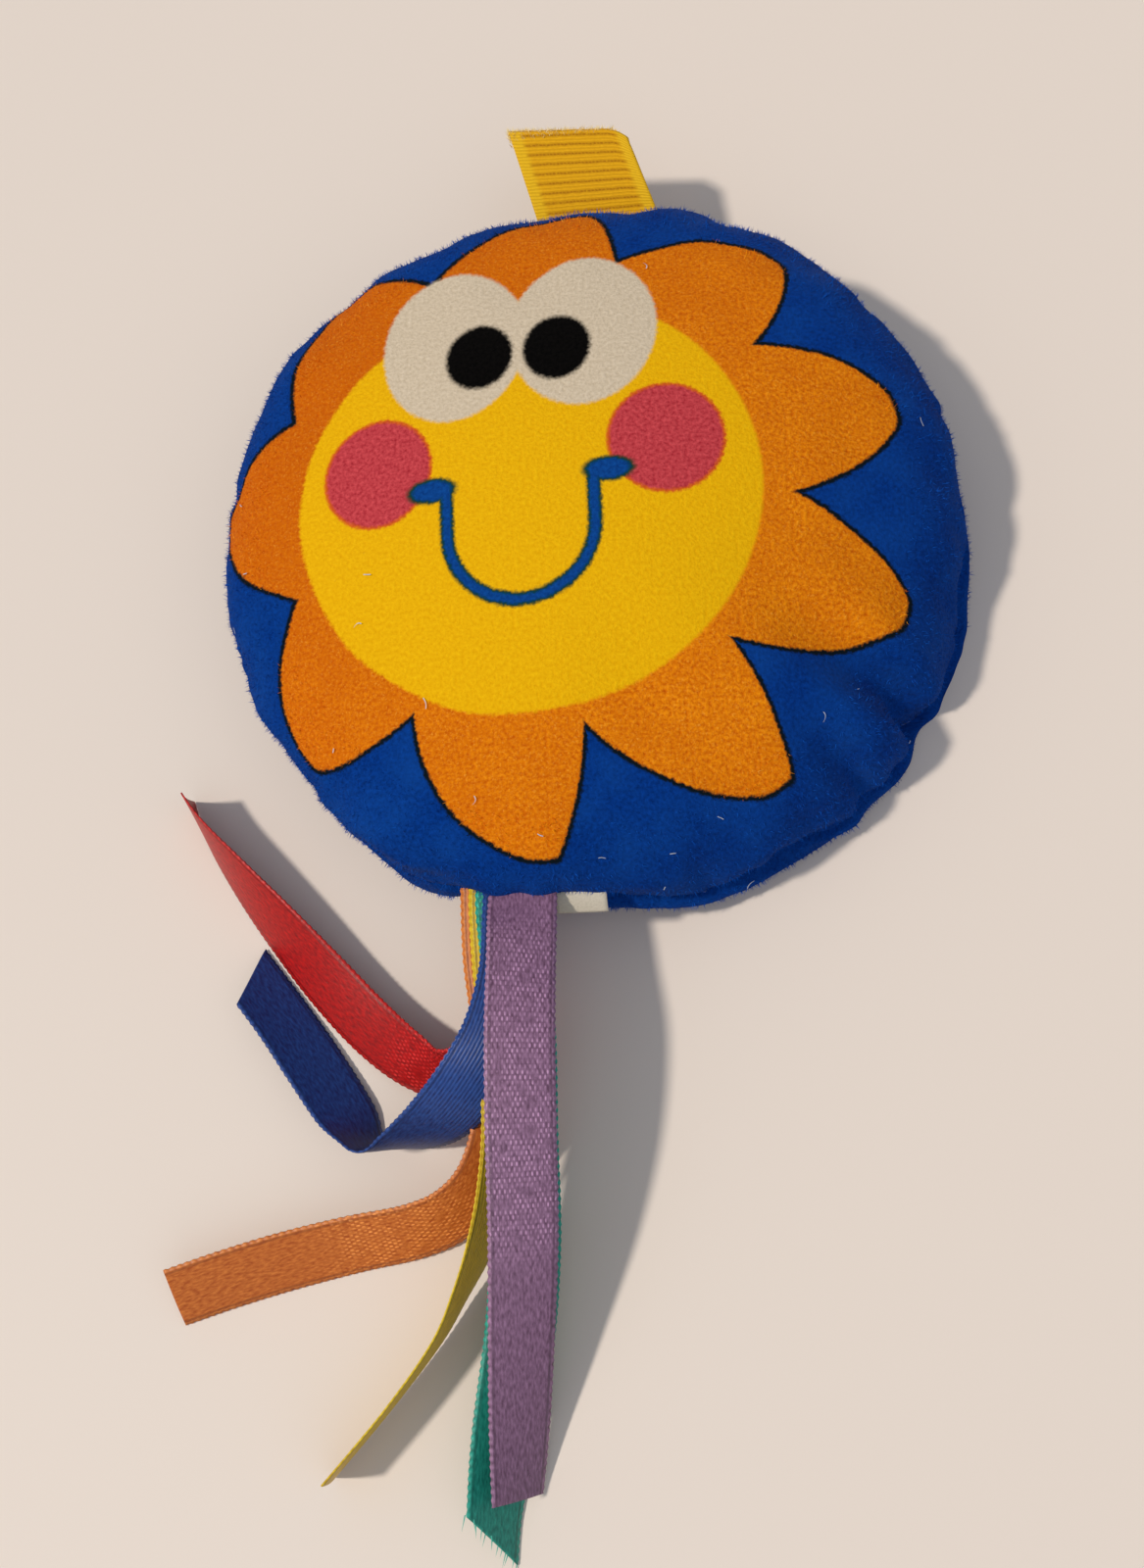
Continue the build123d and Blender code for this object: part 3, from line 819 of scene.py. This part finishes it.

# Worn fibres stand up along the fold at the tab's end, paler than the tape.
worn_fibre, tree = start_material("worn_tape_fibre")
place = add_node(tree, "TexCoord").outputs["Object"]
fade = add_node(tree, "TexNoise", Vector=place, Scale=900, Detail=2)
fibre_colour = add_node(tree, "Mix", fade, linear("#E0B83A"), linear("#FAF0C4"), data_type="RGBA")
shader = add_node(
    tree, "BsdfPrincipled", Base_Color=fibre_colour, Roughness=0.9, Specular_IOR_Level=0.1
)
add_node(tree, "OutputMaterial", Surface=shader)
tab_end = max(vert.co.y for vert in tab.data.vertices)
fold_places = [vert.co.copy() for vert in tab.data.vertices if vert.co.y > tab_end - 2.2 * MM]
fuzz_count = 2600
fuzz = bmesh.new()
for _ in range(fuzz_count):
    root = scatter.choice(fold_places) + Vector((scatter.uniform(-0.3, 0.3) * MM, 0, 0))
    along = Vector((scatter.uniform(-1, 1), scatter.uniform(0.1, 1.2), scatter.uniform(-0.6, 1)))
    breadth = along.cross(Vector([scatter.uniform(-1, 1) for _ in range(3)])).normalized()
    tip = root + along.normalized() * scatter.uniform(0.4, 1.3) * MM
    corners = (root - breadth * 0.08 * MM, root + breadth * 0.08 * MM, tip)
    fuzz.faces.new([fuzz.verts.new(corner) for corner in corners])
fuzz_mesh = bpy.data.meshes.new("hang_tab_fuzz")
fuzz.to_mesh(fuzz_mesh)
fuzz.free()
fuzz_mesh.materials.append(worn_fibre)
fuzz_object = bpy.data.objects.new("hang_tab_fuzz", fuzz_mesh)
bpy.context.scene.collection.objects.link(fuzz_object)
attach(fuzz_object, "hang_tab")


# ---- Ribbons ----
# Six streamers of woven satin ribbon, 10 mm wide, one of each colour, stacked
# and caught in the seam. They are limp, and lie as they fell on the table.
def satin(name, low, high, dots, ribs):
    """Woven satin ribbon: smooth and softly shiny, with a lighter looped edge.

    Its weft is drawn as dots, in staggered rows 0.75 mm apart, and its warp as ribs along
    it, each twice as coarse as it is, so that it shows. Dots and ribs are the stretches, in
    millimetres from the hidden end, where the weave shows in a pale painted highlight.
    """
    material, tree = start_material(name)
    uv = add_node(tree, "UVMap", uv_map="strip_mm").outputs["UV"]
    parts = add_node(tree, "SeparateXYZ", Vector=uv)
    across, along = parts.outputs["X"], parts.outputs["Y"]
    column_pitch, row_pitch, rib_pitch, loop_pitch = 0.72, 1.5, 0.55, 1.15
    # The dots and the ribs each show, in painted highlight, on one stretch, with a soft start and end.
    shown = []
    for start, end in (dots, ribs):
        past_start = add_node(tree, "Math", along, start, operation="SUBTRACT")
        before_end = add_node(tree, "Math", end, along, operation="SUBTRACT")
        inside = add_node(tree, "Math", past_start, before_end, operation="MINIMUM")
        shown.append(add_node(tree, "MapRange", inside, -5.0, 5.0, interpolation_type="SMOOTHSTEP"))
    dots_shown, ribs_shown = shown
    columns = add_node(tree, "Math", across, math.tau / column_pitch, operation="MULTIPLY")
    columns = add_node(tree, "Math", columns, operation="COSINE")
    rows = add_node(tree, "Math", along, math.tau / row_pitch, operation="MULTIPLY")
    rows = add_node(tree, "Math", rows, operation="COSINE")
    dotted = add_node(tree, "Math", columns, rows, operation="MULTIPLY")
    dotted = add_node(tree, "Math", dotted, 0.4, operation="SUBTRACT")
    dotted = add_node(tree, "MapRange", dotted, -0.35, 0.35, interpolation_type="SMOOTHSTEP")
    # The dots glint only in patches, which is painted highlight.
    glints = add_node(tree, "TexNoise", Vector=uv, Scale=0.5, Detail=3)
    glints = add_node(tree, "MapRange", Value=glints, From_Min=0.35, From_Max=0.65)
    dotted = add_node(tree, "Math", dotted, glints, operation="MULTIPLY")
    dotted = add_node(tree, "Math", dotted, dots_shown, operation="MULTIPLY")
    ribbed = add_node(tree, "Math", across, math.tau / rib_pitch, operation="MULTIPLY")
    ribbed = add_node(tree, "Math", ribbed, operation="SINE")
    ribbed = add_node(tree, "Math", ribbed, 0.5, 0.5, operation="MULTIPLY_ADD")
    ribbed = add_node(tree, "Math", ribbed, ribs_shown, operation="MULTIPLY")
    # Elsewhere the floats lie slantwise, and catch the light in short flecks.
    slanted = add_node(
        tree, "Mapping", Vector=uv, Rotation=(0, 0, math.radians(35)), Scale=(2.6, 0.9, 1)
    )
    floats = add_node(tree, "TexNoise", Vector=slanted, Scale=1.0, Detail=4)
    floats = add_node(tree, "MapRange", Value=floats, From_Min=0.3, From_Max=0.7)
    # Painted highlight: a pale copy of the lit colour, for the dots, the ribs and the edge loops.
    painted_highlight_colour = [min(1.0, channel * 1.8 + 0.02) for channel in linear(high)]
    colour = add_node(tree, "Mix", floats, linear(low), linear(high), data_type="RGBA")
    amount = add_node(tree, "Math", ribbed, 0.4, operation="MULTIPLY")
    colour = add_node(tree, "Mix", amount, colour, painted_highlight_colour, data_type="RGBA")
    colour = add_node(tree, "Mix", dotted, colour, painted_highlight_colour, data_type="RGBA")
    # Painted shade: a thin dark band runs just inside each looped edge.
    edge = add_node(tree, "Math", across, operation="ABSOLUTE")
    edge = add_node(tree, "Math", edge, 4.55, operation="SUBTRACT")
    edge = add_node(tree, "MapRange", edge, -0.12, 0.12, interpolation_type="SMOOTHSTEP")
    inner = add_node(tree, "Math", across, operation="ABSOLUTE")
    inner = add_node(tree, "Math", inner, 4.2, operation="SUBTRACT")
    inner = add_node(tree, "MapRange", inner, -0.12, 0.12, interpolation_type="SMOOTHSTEP")
    edge_painted_shade = add_node(tree, "Math", inner, edge, operation="SUBTRACT")
    edge_painted_shade = add_node(tree, "Math", edge_painted_shade, 0.45, operation="MULTIPLY")
    colour = add_node(
        tree, "Mix", edge_painted_shade, colour, [channel * 0.4 for channel in linear(low)], data_type="RGBA"
    )
    # The loops along each edge are picked out in painted highlight, one every 1.15 mm.
    beads = add_node(tree, "Math", along, math.tau / loop_pitch, operation="MULTIPLY")
    beads = add_node(tree, "Math", beads, operation="COSINE")
    beads = add_node(tree, "Math", beads, 0.5, 0.5, operation="MULTIPLY_ADD")
    beads = add_node(tree, "Math", edge, beads, operation="MULTIPLY")
    amount = add_node(tree, "Math", beads, 0.3, operation="MULTIPLY")
    colour = add_node(tree, "Mix", amount, colour, painted_highlight_colour, data_type="RGBA")
    height = add_node(tree, "Math", dotted, ribbed, operation="ADD")
    raised_edge = add_node(tree, "Math", edge, 0.8, operation="MULTIPLY")
    height = add_node(tree, "Math", height, raised_edge, operation="ADD")
    height = add_node(tree, "Math", floats, 0.35, height, operation="MULTIPLY_ADD")
    bump = add_node(tree, "Bump", Height=height, Strength=0.4, Distance=0.15 * MM)
    shader = add_node(
        tree, "BsdfPrincipled", Base_Color=colour, Normal=bump, Roughness=0.45,
        Specular_IOR_Level=0.35,
    )
    add_node(tree, "OutputMaterial", Surface=shader)
    return material


ribbon_width, ribbon_thickness = 10 * MM, 0.25 * MM
seam_end = 4.5
root_y = -58.7
# Each station is a point on the ribbon in mm, and the turn and lean of its across
# direction in degrees. The first is where the ribbon leaves the seam.
ribbon_paths = {
    "purple": [
        (-9.8, root_y, 19.0, 180, 6), (-9.4, -66, 21.6, 180, 20), (-9.2, -78, 23.4, 180, 16),
        (-9.2, -92, 22.0, 180, 18), (-9.6, -106, 17.6, 180, 24), (-10.8, -120.5, 12.0, 180, 36),
        (-11.9, -132.5, 7.2, 180, 46), (-12.6, -142, 4.6, 177, 58),
    ],
    "blue": [
        (-10.9, root_y, 18.2, 180, 0), (-11.0, -69, 19.9, 179, 2), (-13.4, -78.5, 20.3, 167, 8),
        (-18.4, -85.4, 17.6, 147, 28), (-24.2, -89.4, 11.8, 124, 56), (-30.6, -91.7, 7.2, 106, 84),
        (-35.9, -91.6, 5.3, 84, 112), (-39.8, -86.6, 4.4, 44, 138), (-45.2, -79.0, 3.8, 34, 144),
        (-50.6, -71.6, 3.6, 35, 142), (-58.4, -61.8, 3.6, 37, 142),
    ],
    "green": [
        (-12.1, root_y, 17.4, 180, 0), (-11.2, -66, 17.6, 180, 0), (-10.2, -78, 16.9, 180, 0),
        (-10.2, -92, 14.9, 180, 0), (-10.4, -106, 11.4, 181, 4), (-12.2, -120.5, 6.8, 184, 14),
        (-14.9, -134, 4.4, 188, 38), (-16.0, -144, 4.4, 184, 52), (-16.4, -150.6, 4.4, 182, 54),
    ],
    "yellow": [
        (-13.3, root_y, 16.6, 180, 0), (-12.8, -66, 16.2, 180, 2), (-11.8, -78, 14.8, 180, 20),
        (-12.6, -90, 12.6, 178, 48), (-14.6, -99.5, 10.2, 172, 64), (-17.6, -107, 8.2, 168, 80),
        (-20.8, -113.5, 6.8, 166, 90), (-24.6, -120.4, 5.8, 166, 96), (-31.6, -129.5, 5.4, 168, 99),
        (-40.4, -139.6, 5.3, 168, 99),
    ],
    "orange": [
        (-14.7, root_y, 15.8, 180, 0), (-14.4, -66, 14.8, 180, 2), (-13.2, -77, 12.8, 179, 8),
        (-13.6, -88, 9.8, 174, 22), (-16.8, -96.4, 7.2, 150, 42), (-21.8, -101.4, 5.4, 126, 48),
        (-28.4, -104.2, 4.4, 106, 46), (-38.2, -106, 3.8, 100, 43), (-48, -108.2, 3.6, 102, 41),
        (-57.4, -110.8, 3.6, 104, 41), (-66.2, -113.6, 3.6, 106, 41),
    ],
    "red": [
        (-13.6, root_y, 15.0, 180, 0), (-13.6, -65.5, 13.2, 178, 8), (-14.4, -73.5, 10.4, 168, 26),
        (-18.4, -79.8, 7.8, 146, 42), (-24.4, -81.2, 5.6, 106, 46), (-30.0, -78.4, 4.6, 70, 38),
        (-36.4, -73.2, 3.6, 54, 32), (-43.6, -65.8, 3.5, 48, 34), (-51.4, -57.0, 4.1, 46, 46),
        (-58.4, -48.8, 4.7, 44, 60), (-64.8, -40.6, 5.2, 40, 76), (-68.6, -33.8, 5.4, 32, 88),
    ],
}
# Each look is a shaded and a lit colour, mixed in flecks of painted light, then the stretches of
# painted highlight on the dots and on the ribs.
ribbon_looks = {
    "purple": ("#5E3E57", "#967090", (8, 56), (0, 0)),
    "blue": ("#0C1E56", "#1E4488", (0, 0), (0, 42)),
    "green": ("#0A6A5E", "#289C88", (0, 30), (0, 0)),
    "yellow": ("#A8820A", "#D8AE1A", (0, 0), (0, 90)),
    "orange": ("#A04812", "#D07832", (48, 72), (0, 30)),
    "red": ("#820404", "#C0100A", (24, 44), (0, 0)),
}
ribbon_bends = {colour: ((0, -0.058, seam_z), (0, -0.062, seam_z)) for colour in ribbon_paths}
ribbon_bends["red"] = ((-0.0136, -0.0582, 0.015), (-0.01465, -0.0603, 0.01241))
ribbon_cuts = {"green": 6.2 * MM, "red": 2.0 * MM, "blue": 6.5 * MM, "orange": 0.8 * MM}
for colour, stations in ribbon_paths.items():
    first = stations[0]
    stations = [(first[0], root_y + seam_end, (first[2] + seam_z / MM) / 2, 180, 0)] + stations
    path = [Vector(station[:3]) * MM for station in stations]
    across_at = []
    for *_, turn, lean in stations:
        tip_up = Matrix.Rotation(-math.radians(lean), 3, "Y")
        heading = Matrix.Rotation(math.radians(turn), 3, "Z")
        across_at.append(heading @ tip_up @ Vector((1, 0, 0)))
    ribbon, length = bind_strip(
        f"ribbon_{colour}_satin", path, across_at, ribbon_width, 12, 280,
        ribbon_thickness, curl=0.25 * MM, loops=0.2 * MM, slant=ribbon_cuts.get(colour, 0.0),
    )
    ribbon.data.materials.append(satin(f"woven_satin_{colour}", *ribbon_looks[colour]))
    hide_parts(f"ribbon_{colour}")
    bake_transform(ribbon)

    if colour == "green":
        # Its slanted cut has begun to fray into single warp threads.
        frayed = bmesh.new()
        for cut_vert in ribbon.data.vertices[-13:]:
            root = cut_vert.co + Vector((scatter.uniform(-0.3, 0.3) * MM, 0.3 * MM, 0))
            tip = root - Vector((scatter.uniform(-0.5, 0.7), scatter.uniform(1.2, 2.4), 0)) * MM
            side_step = Vector((0.11 * MM, 0, 0))
            corners = (root - side_step, root + side_step, tip)
            frayed.faces.new([frayed.verts.new(corner) for corner in corners])
        frayed_mesh = bpy.data.meshes.new("green_frayed_threads")
        frayed.to_mesh(frayed_mesh)
        frayed.free()
        frayed_mesh.materials.append(ribbon.data.materials[0])
        frayed_object = bpy.data.objects.new("green_frayed_threads", frayed_mesh)
        bpy.context.scene.collection.objects.link(frayed_object)
        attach(frayed_object, "green_streamer")

# ---- Care label ----
# A cream polyester label, printed side left blank, folded over and caught in
# the seam beside the ribbons. Only its last few millimetres stand out.
label_width, label_tape = 8 * MM, 0.3 * MM
label_path = [
    Vector((-1.6, y, z)) * MM
    for y, z in ((-54.0, 17.0), (-56.4, 16.6), (-57.8, 15.8), (-59.0, 14.6))
]
label, _ = bind_strip(
    "care_label_tape", label_path, [Vector((-1, 0, 0))] * len(label_path), label_width,
    12, 16, label_tape,
)
label_satin, tree = start_material("woven_label_tape")
label_uv = add_node(tree, "UVMap", uv_map="strip_mm").outputs["UV"]
threads = add_node(tree, "TexNoise", Vector=label_uv, Scale=3, Detail=4)
# Painted shade: the cream is drawn greyer and darker, for the shadow under the pillow's edge.
label_colour_painted_shade = add_node(
    tree, "Mix", threads, linear("#AFA693"), linear("#D6CDBB"), data_type="RGBA"
)
bump = add_node(tree, "Bump", Height=threads, Strength=0.3, Distance=0.1 * MM)
shader = add_node(tree, "BsdfPrincipled", Base_Color=label_colour_painted_shade, Normal=bump, Roughness=0.55)
add_node(tree, "OutputMaterial", Surface=shader)
label.data.materials.append(label_satin)
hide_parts("care_label")
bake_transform(label)

# ---- Table and light ----
# A warm white table top, one soft lamp from the left, a weak wide light from
# the side where the viewer stands, and a cool pale room.
bm = bmesh.new()
bmesh.ops.create_grid(bm, x_segments=1, y_segments=1, size=1.5)
table_mesh = bpy.data.meshes.new("table")
bm.to_mesh(table_mesh)
bm.free()
table = bpy.data.objects.new("table", table_mesh)
bpy.context.scene.collection.objects.link(table)
table_paint, tree = start_material("painted_table")
shader = add_node(tree, "BsdfPrincipled", Base_Color=linear("#DFD3C8"), Roughness=0.6)
add_node(tree, "OutputMaterial", Surface=shader)
table_mesh.materials.append(table_paint)
lamps = {
    "lamp_left": ((-0.62, -0.14, 1.0), 2.3, 5, "#FFF6EA"),
    "fill_front": ((0.5, -0.7, 1.1), 0.5, 60, "#EEF0FA"),
}
for name, (towards, strength, spread, colour) in lamps.items():
    lamp_data = bpy.data.lights.new(name, "SUN")
    lamp_data.energy = strength
    lamp_data.angle = math.radians(spread)
    lamp_data.color = linear(colour)[:3]
    lamp = bpy.data.objects.new(name, lamp_data)
    bpy.context.scene.collection.objects.link(lamp)
    lamp.rotation_euler = Vector(towards).to_track_quat("Z", "Y").to_euler()
world = bpy.data.worlds.new("room")
world.use_nodes = True
world.node_tree.nodes["Background"].inputs["Color"].default_value = linear("#DCE4F0")
world.node_tree.nodes["Background"].inputs["Strength"].default_value = 0.42
bpy.context.scene.world = world
bpy.context.scene.view_settings.view_transform = "Standard"
